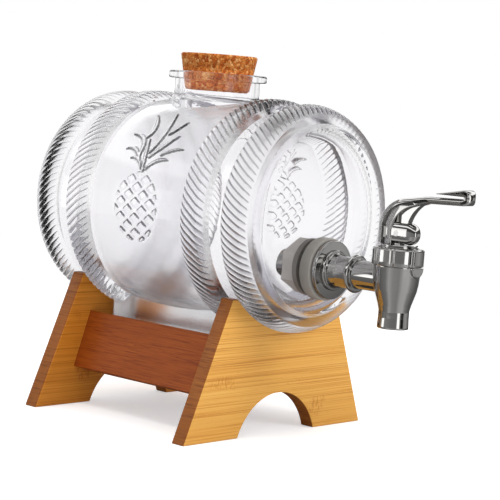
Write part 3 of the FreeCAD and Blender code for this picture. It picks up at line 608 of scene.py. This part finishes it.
def glass_barrel():
    """The barrel: neck and foot joined on, then the foot's recess, hollow, mouth and tap hole cut."""
    glass = barrel_outside()
    combine(glass, neck_solid(), "UNION")
    foot = extrude("foot", rounded_rectangle(*FOOT_HALF, 6), FOOT_BOTTOM, -45, top_view, BARREL)
    bevel(foot, 1.2, 3, 60)
    combine(glass, foot, "UNION")
    inside = rounded_rectangle(FOOT_HALF[0] - FOOT_WALL, FOOT_HALF[1] - FOOT_WALL, 3)
    recess = extrude("recess", inside, -80, FOOT_BOTTOM + FOOT_RECESS, top_view, BARREL)
    combine(glass, recess, "DIFFERENCE")
    combine(glass, barrel_cavity(), "DIFFERENCE")
    mouth = [(0, 0), (MOUTH_RADIUS, 0), (MOUTH_RADIUS, 71.8)]
    mouth += arc((MOUTH_RADIUS, 71.8), (20.6, RIM_HEIGHT), 1.2, -1, 5)
    mouth += [(20.6, RIM_HEIGHT), (20.6, 80), (0, 80)]
    combine(glass, lathe("mouth", mouth, 256, BARREL), "DIFFERENCE")
    hole = [(0, -20), (TAP_HOLE_RADIUS, -20), (TAP_HOLE_RADIUS, 10), (0, 10)]
    combine(glass, lathe("hole", hole, 96, (HEAD_X, 0, TAP.z), "x"), "DIFFERENCE")
    finish_piece(glass, "barrel", "clear_glass", GLASS, "glass_barrel", angle=42)
    looks = (GLASS, GLASS_INSIDE, GLASS_RELIEF_SHADED, GLASS_VALLEY_SHADED, GLASS_ROPE, GLASS_FOOT, GLASS_RIM)
    for material in looks[1:]:
        glass.data.materials.append(material)
    for face in glass.data.polygons:
        face.material_index = looks.index(glass_look(face.center / MM - BARREL, face.normal))


# ---------------------------------------------------------------- cork


def cork_stopper():
    """A tapered cork whose side is pitted by noise."""
    low, high = corners("cork_stopper")
    mouth = glass_high.z
    profile = [(0, low.z)]
    wall = [(16.6, low.z), (17.5, low.z + 0.8)]
    heights = [low.z + 0.8 + (high.z - low.z - 1.6) * k / 26 for k in range(27)]
    wall += [(19.3 + 0.18 * (z - mouth), z) for z in heights[1:]]
    wall += [(20.3, high.z)]
    profile += wall + [(18.0, high.z), (12.0, high.z), (6.0, high.z), (0, high.z)]

    def pitted(radius, height, angle):
        spot = Vector((radius * math.cos(angle), radius * math.sin(angle), height))
        crumb = noise.noise(spot * 0.9) * 0.12
        pit = max(noise.noise(spot * 0.55 + Vector((7, 3, 1))) - 0.33, 0) * 1.6
        return radius - 0.1 + crumb * 0.5 - pit

    cork = lathe("cork", profile, 220, (BARREL.x, 0, 0), "z", pitted)
    finish_piece(cork, "cork", "cork", CORK, "cork_stopper", angle=60)


# ---------------------------------------------------------------- stand


ARCH_HALF_WIDTH = 30.5
ARCH_RADIUS = 32.24
CRADLE_RADIUS = 55.3
PANEL_TOP_HALF_WIDTH = 41.5
BOARD_HALF = (4.25, 16.15)
BOARD_LEAN = math.radians(18)


def assign_edges(piece, face_material, edge_material):
    """The broad faces get one material and the narrow edges another."""
    piece.data.materials.clear()
    piece.data.materials.append(face_material)
    piece.data.materials.append(edge_material)
    for face in piece.data.polygons:
        face.material_index = 0 if abs(face.normal.x) > 0.6 else 1


def stand_panel(node, material):
    """An end panel: an arch below, sloping sides and a round cradle on top."""
    low, high = corners(node)
    reach = math.sqrt(CRADLE_RADIUS ** 2 - (BARREL.z - high.z) ** 2)
    arch = ARCH_HALF_WIDTH
    outline = [(low.y, 0)] + arc((-arch, 0), (arch, 0), ARCH_RADIUS, -1, 40) + [(arch, 0), (high.y, 0)]
    outline += [(PANEL_TOP_HALF_WIDTH, high.z)]
    outline += arc((reach, high.z), (-reach, high.z), CRADLE_RADIUS, -1, 48)
    outline += [(-reach, high.z), (-PANEL_TOP_HALF_WIDTH, high.z)]
    panel = extrude(node + "_board", outline, low.x, high.x, end_view)
    bevel(panel, 0.55, 2, 30)
    # the narrow edges take the darker copy, painted shade
    assign_edges(panel, material, BAMBOO_EDGE_SHADED)
    finish_piece(panel, "stand", "bamboo", None, node, angle=20)


def stretcher(node):
    """A board between the panels, leaning outward at its foot."""
    low, high = corners(node)
    centre = (low + high) / 2
    lean = BOARD_LEAN if centre.y > 0 else -BOARD_LEAN
    board = extrude(node + "_board", rounded_rectangle(*BOARD_HALF, 0.5, 2), low.x, high.x, end_view)
    board.data.transform(Matrix.Rotation(lean, 4, "X"))
    board.data.transform(Matrix.Translation((0, centre.y * MM, centre.z * MM)))
    finish_piece(board, "stand", "bamboo", BAMBOO_SHADED, node, angle=20)


# ---------------------------------------------------------------- tap


SHANK_RADIUS = 7.5
OUTLET_RADIUS = 6.4
CHAMBER_RADIUS = 8.6
CAP_RADIUS = 13
CAP_NOTCHES = 8
NOTCH_DEPTH = 0.75
NOTCH_HALF_WIDTH = 1.15
STEM_HOLE_RADIUS = 2.7
BLADE_HALF_WIDTH = 4.0
BLADE_ROUND_START = 38.4
BLADE_ROUND_LENGTH = 4.02
CHEEK_GAP_HALF = 2


def washer(name, inner, outer, back, front, rounding, node, slot, material):
    """A ring about the shank, between two distances from the head, with rounded outer edges."""
    profile = [(inner, back)] + arc((outer - rounding, back), (outer, back + rounding), rounding, 1, 5)
    profile += arc((outer, front - rounding), (outer - rounding, front), rounding, 1, 5)
    profile += [(outer - rounding, front), (inner, front)]
    ring = lathe(name, profile, 160, (HEAD_X, 0, TAP.z), "x")
    finish_piece(ring, "barrel", slot, material, node)


def tap_body():
    """The casting: shank, cone and pipe along X, spout and valve chamber upright, boss under the cap."""
    reach = TAP.x - HEAD_X
    shank = [(0, -26), (SHANK_RADIUS, -26), (SHANK_RADIUS, 10), (10.5, 10), (10.5, 11.1), (10.1, 11.5)]
    shank += [(8.9, 11.5), (8.3, 16), (7.9, 23.5)] + arc((8.6, 23.5), (8.6, 26), 1.25, 1, 8)
    shank += [(8.6, 26), (7.4, 26), (7.4, reach), (0, reach)]
    body = lathe("tap", shank, 160, (HEAD_X, 0, TAP.z), "x")
    spout = [(0, -24.3), (7.75, -24.3), (7.95, -24.0), (7.95, -23.2), (7.75, -19), (7.75, -15.3)]
    spout += [(8.3, -12.5), (9.6, -8.5), (10.7, -5), (11.3, -1.5), (11.6, 2), (12.0, 7.5)]
    spout += [(10.4, 7.5), (10.4, 12.5), (0, 12.5)]
    combine(body, lathe("spout", spout, 160, TAP), "UNION")
    half_round = arc((-4.5, 6.8), (4.5, 6.8), 4.501, 1, 24) + [(4.5, 6.8), (4.5, 7.45), (-4.5, 7.45)]
    boss = extrude("boss", half_round, 0, 13.0, end_view, TAP)
    bevel(boss, 0.35, 2, 40)
    combine(body, boss, "UNION")
    outlet = [(0, -26), (OUTLET_RADIUS, -26), (OUTLET_RADIUS, -9.8), (4.6, -8.8), (4.6, -6.8)]
    outlet += [(CHAMBER_RADIUS, -6.8), (CHAMBER_RADIUS, 14), (0, 14)]
    combine(body, lathe("outlet", outlet, 128, TAP), "DIFFERENCE")
    cast(body, 0.2, 7)
    finish_piece(body, "barrel", "chrome", CHROME, "tap_body", angle=60)


def bonnet_cap():
    """The cap that screws on the body, with finger notches round its side."""
    low, high = corners("bonnet_cap")
    wall = CAP_RADIUS
    profile = [(10.45, low.z)] + arc((12.5, low.z), (wall, low.z + 0.5), 0.5, 1, 4)
    profile += [(wall, low.z + 0.5), (wall, low.z + 3), (wall, high.z - 3)]
    profile += arc((wall, high.z - 1.2), (11.8, high.z), 1.2, 1, 7)
    profile += [(11.8, high.z), (10.6, high.z), (10.4, high.z - 0.5), (STEM_HOLE_RADIUS, high.z - 0.5)]
    profile += [(STEM_HOLE_RADIUS, high.z - 3), (10.45, high.z - 3)]

    def notched(radius, height, angle):
        if radius < 11.5:
            return radius
        notch = (angle * CAP_NOTCHES / (2 * math.pi)) % 1 - 0.5
        across = CAP_RADIUS * notch * 2 * math.pi / CAP_NOTCHES
        return radius - NOTCH_DEPTH * math.exp(-(across / NOTCH_HALF_WIDTH) ** 4)

    cap = lathe("cap", profile, 512, (TAP.x, 0, 0), "z", notched)
    finish_piece(cap, "barrel", "chrome", CHROME, "bonnet_cap")


def bonnet_washer():
    """The ring on the cap that the lever's nose rolls on, with a groove round its side."""
    low, high = corners("bonnet_washer")
    groove = (low.z + high.z) / 2
    profile = [(STEM_HOLE_RADIUS, low.z), (9.4, low.z), (9.6, low.z + 0.25), (9.6, groove - 0.2)]
    profile += [(9.0, groove - 0.05), (9.0, groove + 0.05), (9.5, groove + 0.2), (9.5, high.z - 0.25)]
    profile += [(9.3, high.z), (STEM_HOLE_RADIUS, high.z)]
    ring = lathe("ring", profile, 160, (TAP.x, 0, 0))
    finish_piece(ring, "barrel", "chrome", CHROME, "bonnet_washer")


def lever_sides():
    """Two lines from the pin's centre: along the back and top, and along the front and underside."""
    back = line((-11.8, -5.5), (-11.8, 4.5), 6)
    back += arc((-11.8, 4.5), (3.0, 17.6), 16.6, -1, 18)
    back += line((3.0, 17.6), (15.4, 19.6), 8)
    back += line((15.4, 19.6), (37.55, 20.3), 12)
    back += arc((37.55, 20.3), (37.55, 21.4), 0.5505, 1, 12)
    back += line((37.55, 21.4), (22.55, 21.4), 10) + [(22.55, 21.4)]
    front = line((-2.6, -5.5), (-2.6, 3.5), 6)
    front += arc((-2.6, 3.5), (8.5, 13.8), 15.8, -1, 18)
    front += line((8.5, 13.8), (16.4, 16.3), 8)
    front += line((16.4, 16.3), (38.55, 17.1), 12)
    front += arc((38.55, 17.1), (38.55, 24.8), 3.851, 1, 12)
    front += line((38.55, 24.8), (22.55, 21.9), 10) + [(22.55, 21.9)]
    return back, front


def bar_section(thickness, half_width, back_round, front_round):
    """(share from back to front, y) round a bar's section; the rounds are (depth, width) pairs."""
    points = []
    for side, (depth, width), centre_share in ((1, back_round, 0), (-1, back_round, 0),
                                               (-1, front_round, 1), (1, front_round, 1)):
        depth = min(depth, 0.42 * thickness) / thickness
        flip = side < 0
        for step in range(7):
            turn = math.pi / 2 * (step if flip else 6 - step) / 6
            if centre_share:
                turn = math.pi / 2 - turn
                share = 1 - depth + depth * math.sin(math.pi / 2 - turn)
                y = half_width - width + width * math.cos(math.pi / 2 - turn)
            else:
                share = depth - depth * math.sin(turn)
                y = half_width - width + width * math.cos(turn)
            points.append((share, side * y))
    return points


def lever_bar():
    """The bent blade: a section carried along both sides, narrowed where the tip is round in plan."""
    rows = []
    for back, front in zip(*lever_sides()):
        back, front = Vector(back), Vector(front)
        thickness = (front - back).length
        row = []
        for share, y in bar_section(thickness, BLADE_HALF_WIDTH, (3.2, 2.4), (0.8, 0.8)):
            spot = back + (front - back) * share
            over = max(spot.x - BLADE_ROUND_START, 0) / BLADE_ROUND_LENGTH
            row.append(PIN + Vector((spot.x, y * math.sqrt(max(1 - over ** 2, 0.02)), spot.y)))
        rows.append(row)
    vertices = [spot for row in rows for spot in row]
    return new_piece("lever_casting", vertices, tube_faces(len(rows), len(rows[0])))


def lever_nose():
    """The rounded nose: a pill that lies along the lever, oval across."""
    sides = 64
    angles = [2 * math.pi * k / sides for k in range(sides)]
    rows = []
    for step in range(25):
        turn = math.pi * step / 48
        x = 6 + 5.5 * math.sin(turn) if step else -6
        size = math.cos(turn)
        rows.append([(x, 3.7 * size ** 0.6 * squared(math.cos(a), 0.62),
                      5.5 * size * squared(math.sin(a), 0.8)) for a in angles])
    rows.insert(1, [(6, y, z) for x, y, z in rows[0]])
    vertices = [PIN + Vector(spot) for row in rows for spot in row]
    faces = tube_faces(len(rows), sides)
    return new_piece("nose", vertices, faces)


def squared(amount, power):
    return math.copysign(abs(amount) ** power, amount)


def lever():
    """Blade, nose and the rib in their corner, slotted for the head of the stem."""
    bar = lever_bar()
    combine(bar, lever_nose(), "UNION")
    rib_side = [(1.6, 4.4)] + arc((5.2, 4.4), (15.5, 16.6), 18, -1, 12) + [(15.5, 16.6), (1.6, 13.9)]
    combine(bar, extrude("rib", rib_side, -1.9, 1.9, side_view, PIN), "UNION")
    gap_side = [(-4.6, -8), (6.4, -8), (6.4, 4.5), (-4.6, 4.5)]
    slot = extrude("slot", gap_side, -CHEEK_GAP_HALF, CHEEK_GAP_HALF, side_view, PIN)
    combine(bar, slot, "DIFFERENCE")
    finish_piece(bar, "handle", "chrome", CHROME, "lever", angle=40)


def valve_spring():
    """A round-wire helix on the stem's collar. The real one is pressed shorter as the valve lifts; this one
    keeps its length.
    """
    low, high = corners("valve_spring")
    wire, coil, pitch, sides = 0.5, 5.0, 2.4, 10
    height = high.z - low.z - 2 * wire
    steps = round(32 * height / pitch)
    vertices = []
    for step in range(steps + 1):
        turn = 2 * math.pi * height / pitch * step / steps
        outward = Vector((math.cos(turn), math.sin(turn), 0))
        centre = Vector((TAP.x, 0, low.z + wire + height * step / steps)) + outward * coil
        for k in range(sides):
            around = 2 * math.pi * k / sides
            vertices.append(centre + (outward * math.cos(around) + Vector((0, 0, math.sin(around)))) * wire)
    spring = new_piece("spring", vertices, tube_faces(steps + 1, sides))
    finish_piece(spring, "valve", "valve_steel", STEEL, "valve_spring")
    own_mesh(spring)


# ---------------------------------------------------------------- CAD pieces that stay

KEPT = {
    "stretcher_dowels": BAMBOO_SHADED,
    "inner_gasket": GASKET,
    "lock_nut": NUT,
    "bonnet_o_ring": GASKET,
    "valve_stem": STEEL,
    "seat_cup": GASKET,
    "lever_pin": STEEL,
}


def paint_kept_pieces():
    for node, material in KEPT.items():
        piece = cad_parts[node]
        if not piece.material_slots:
            piece.data.materials.append(material)
        for place in piece.material_slots:
            place.material = material


# ---------------------------------------------------------------- studio

# the photograph's viewpoint: the level direction of view, then the camera's place and axes
VIEW = Vector((-0.663, 0.749, 0.0))
CAMERA_PLACE = Vector((634.792, -679.857, 174.93))
CAMERA_RIGHT = Vector((0.742192, 0.666174, 0.073241))
CAMERA_UP = Vector((-0.113222, 0.016921, 0.993426))
LENS = 122.11
FLOOR_RADIUS = 620
FLOOR_DROP = 0.02
SWEEP_GREY = 0.86
SKY_STRENGTH = 0.72
REFLECTION_STRENGTH = 1.9


def camera():
    lens = bpy.data.cameras.new("camera")
    lens.lens = LENS
    lens.sensor_width = 36.0
    lens.clip_start = 0.05
    lens.clip_end = 50.0
    eye = bpy.data.objects.new("camera", lens)
    bpy.context.collection.objects.link(eye)
    back = CAMERA_RIGHT.cross(CAMERA_UP)
    turn = Matrix((CAMERA_RIGHT, CAMERA_UP, back)).transposed()
    place = CAMERA_PLACE + Vector((BARREL.x, 0, 0))
    eye.matrix_world = Matrix.LocRotScale(place * MM, turn.to_quaternion(), None)
    bpy.context.scene.camera = eye


def area_light(name, place, target, size, power):
    """A soft box that lights the pieces but is seen neither in them nor through them."""
    lamp = bpy.data.lights.new(name, "AREA")
    lamp.shape = "RECTANGLE"
    lamp.size, lamp.size_y = size
    lamp.energy = power
    light = bpy.data.objects.new(name, lamp)
    bpy.context.collection.objects.link(light)
    light.location = place
    light.rotation_euler = (Vector(target) - Vector(place)).to_track_quat("-Z", "Y").to_euler()
    light.visible_camera = False
    light.visible_transmission = False
    light.visible_glossy = False


def studio_world():
    """White for the camera, white with pale grey cards through glass, and dark with cards in metal."""
    world = bpy.data.worlds.new("studio")
    bpy.context.scene.world = world
    world.use_nodes = True
    nodes, links = world.node_tree.nodes, world.node_tree.links
    nodes.clear()

    def node(kind, **inputs):
        made = nodes.new(kind)
        for name, source in inputs.items():
            socket = made.inputs[name.replace("_", " ")]
            if isinstance(source, bpy.types.NodeSocket):
                links.new(source, socket)
            else:
                socket.default_value = source
        return made

    def maths(operation, first, second=0.0):
        made = nodes.new("ShaderNodeMath")
        made.operation = operation
        for socket, source in zip(made.inputs, (first, second)):
            if isinstance(source, bpy.types.NodeSocket):
                links.new(source, socket)
            else:
                socket.default_value = source
        return made.outputs[0]

    def ramp(amount, *stops):
        made = node("ShaderNodeValToRGB", Fac=amount)
        while len(made.color_ramp.elements) < len(stops):
            made.color_ramp.elements.new(0.5)
        for element, (position, level) in zip(made.color_ramp.elements, stops):
            element.position = position
            element.color = grey(level)
        return made.outputs["Color"]

    def mix(amount, first, second):
        made = nodes.new("ShaderNodeMixShader")
        for socket, source in zip(made.inputs, (amount, first, second)):
            links.new(source, socket)
        return made.outputs[0]

    way = node("ShaderNodeTexCoord").outputs["Generated"]
    parts = node("ShaderNodeSeparateXYZ", Vector=way)
    east, north, up = parts.outputs
    azimuth = maths("ARCTAN2", north, east)
    turn_from_view = maths("SUBTRACT", azimuth, math.atan2(VIEW.y, VIEW.x))
    waves = maths("COSINE", maths("MULTIPLY", turn_from_view, 5.0))
    cards = maths("MULTIPLY", maths("ADD", waves, 1.0), 0.5)
    height = maths("MULTIPLY", maths("ADD", up, 1.0), 0.5)

    through_cards = ramp(cards, (0.0, 0.72), (0.05, 0.8), (0.15, 1.0))
    through_height = ramp(height, (0.0, 1.0), (0.66, 1.0), (0.72, 0.8), (1.0, 0.75))
    through = maths("MULTIPLY", through_cards, through_height)

    def toward(degrees, *stops):
        """A ramp over how near a direction is to one so many degrees to the right of the camera."""
        aside = maths("ADD", turn_from_view, math.radians(180 - degrees))
        return ramp(maths("COSINE", aside), *stops)

    facing = maths("COSINE", turn_from_view)
    behind = ramp(maths("MULTIPLY", maths("ADD", facing, 1.0), 0.5), (0.0, 0.17), (0.10, 0.20),
                  (0.30, 0.24), (0.45, 0.30), (0.60, 0.36), (0.75, 0.20), (0.85, 0.12), (0.975, 0.12),
                  (0.99, 1.0))
    behind = maths("MULTIPLY", behind, toward(64, (0.970, 1.0), (0.985, 0.06)))
    level = ramp(height, (0.0, 1.0), (0.52, 1.0), (0.56, 0.25), (1.0, 0.12))
    strip = maths("MULTIPLY", toward(34, (0.980, 0.0), (0.992, 1.0)),
                  ramp(height, (0.30, 0.0), (0.34, 1.0), (0.62, 1.0), (0.66, 0.0)))
    soft_top = ramp(height, (0.70, 0.0), (0.73, 1.2), (0.79, 1.2), (0.82, 0.03), (0.94, 0.03), (0.96, 0.8))
    mirrored = maths("ADD", maths("MULTIPLY", behind, level), soft_top)
    mirrored = maths("ADD", mirrored, maths("MULTIPLY", strip, 1.3))
    side_card = maths("MULTIPLY", toward(-84, (0.982, 0.0), (0.990, 1.0)),
                      ramp(height, (0.36, 0.0), (0.38, 1.0), (0.60, 1.0), (0.62, 0.0)))
    mirrored = maths("ADD", mirrored, maths("MULTIPLY", side_card, 1.2))
    mirrored = maths("ADD", mirrored, toward(-150, (0.92, 0.0), (0.96, 0.4)))

    sky = node("ShaderNodeBackground", Color=grey(1), Strength=SKY_STRENGTH).outputs[0]
    clear = node("ShaderNodeBackground", Color=grey(1), Strength=1.0).outputs[0]
    seen_through = node("ShaderNodeBackground", Color=through, Strength=1.0).outputs[0]
    reflected = node("ShaderNodeBackground", Color=mirrored, Strength=REFLECTION_STRENGTH).outputs[0]
    ray = node("ShaderNodeLightPath").outputs
    shader = mix(ray["Is Glossy Ray"], sky, reflected)
    shader = mix(ray["Is Transmission Ray"], shader, seen_through)
    shader = mix(ray["Is Camera Ray"], shader, clear)
    out = nodes.new("ShaderNodeOutputWorld")
    links.new(shader, out.inputs["Surface"])


def floor():
    """A white sweep that keeps the object's shadow.

    Seen through glass it is darker near the object than far off, a painted shade. Reflections see it not in
    white but in painted greys that change with the angle about the tap.
    """
    sides = 96
    turns = [2 * math.pi * step / sides for step in range(sides)]
    rim = [(FLOOR_RADIUS * math.cos(turn), FLOOR_RADIUS * math.sin(turn), 0) for turn in turns]
    plane = new_piece("floor", rim, [list(range(sides))])
    if plane.data.polygons[0].normal.z < 0:
        plane.data.flip_normals()
    plane.location.z = -FLOOR_DROP * MM
    white, black = grey(SWEEP_GREY), grey(0)
    paint = Paint("white_sweep", Base_Color=white, Roughness=0.9, Specular_IOR_Level=0.0)
    ray = paint.add("ShaderNodeLightPath").outputs
    reach = paint.add("ShaderNodeVectorMath", {"operation": "LENGTH"}, Vector=paint.where).outputs["Value"]
    # painted shade: seen through glass, the floor near the object is darker than far off
    far = paint.ramp(reach, (0.24, 0.0), (0.42, 1.0))
    near = paint.ramp(reach, (0.24, 1.0), (0.42, 0.0))
    far_through = paint.mix(ray["Is Transmission Ray"], black, far)
    near_through = paint.mix(ray["Is Transmission Ray"], black, near)
    from_tap = paint.add("ShaderNodeVectorMath", {"operation": "SUBTRACT"}, Vector=paint.where)
    from_tap.inputs[1].default_value = (TAP.x * MM, 0, 0)
    parts = []
    for direction in ((CAMERA_RIGHT.x, CAMERA_RIGHT.y, 0), (-VIEW.x, -VIEW.y, 0)):
        dot = paint.add("ShaderNodeVectorMath", {"operation": "DOT_PRODUCT"})
        paint.links.new(from_tap.outputs["Vector"], dot.inputs[0])
        dot.inputs[1].default_value = direction
        parts.append(dot.outputs["Value"])
    turn = paint.add("ShaderNodeMath", {"operation": "ARCTAN2"})
    paint.links.new(parts[0], turn.inputs[0])
    paint.links.new(parts[1], turn.inputs[1])
    share = paint.add("ShaderNodeMapRange")
    paint.links.new(turn.outputs[0], share.inputs["Value"])
    share.inputs["From Min"].default_value = -math.pi
    share.inputs["From Max"].default_value = math.pi
    # painted shade and light: reflections see the floor in these greys by the angle about the tap
    greys = ((0.0, 0.08), (0.2, 0.16), (0.33, 0.30), (0.38, 0.62), (0.44, 0.42), (0.52, 0.36),
             (0.58, 0.62), (0.66, 0.66), (0.72, 0.34), (0.82, 0.16), (1.0, 0.08))
    tone = paint.mix(ray["Is Glossy Ray"], white, paint.ramp(share.outputs["Result"], *greys))
    paint.put(paint.shader.inputs["Base Color"], paint.mix(near_through, tone, grey(0.6)))
    lift = paint.mix(ray["Is Camera Ray"], far_through, grey(1))
    paint.put(paint.shader.inputs["Emission Color"], paint.mix(1.0, lift, grey(0.42), "MULTIPLY"))
    paint.shader.inputs["Emission Strength"].default_value = 1.0
    plane.data.materials.append(paint.material)


def lights():
    area_light("key", (1.5, 0.35, 0.75), (0.0, 0.0, 0.08), (0.45, 1.1), 11.0)
    area_light("top", (0.1, -0.25, 1.5), (-0.05, 0.0, 0.08), (1.2, 0.9), 10.0)


# ---------------------------------------------------------------- the dressed dispenser

glass_barrel()
cork_stopper()
stand_panel("front_stand_panel", BAMBOO)
stand_panel("rear_stand_panel", BAMBOO_REAR_SHADED)
stretcher("left_stretcher")
stretcher("right_stretcher")
washer("gasket", 7.6, 16.3, 0, 7, 0.9, "outer_gasket", "grey_silicone", GASKET)
washer("flange", 7.6, 15.2, 7, 10, 0.5, "tap_flange", "chrome", CHROME)
tap_body()
bonnet_cap()
bonnet_washer()
lever()
valve_spring()
paint_kept_pieces()

camera()
lights()
studio_world()
floor()
bpy.context.scene.view_settings.view_transform = "Standard"
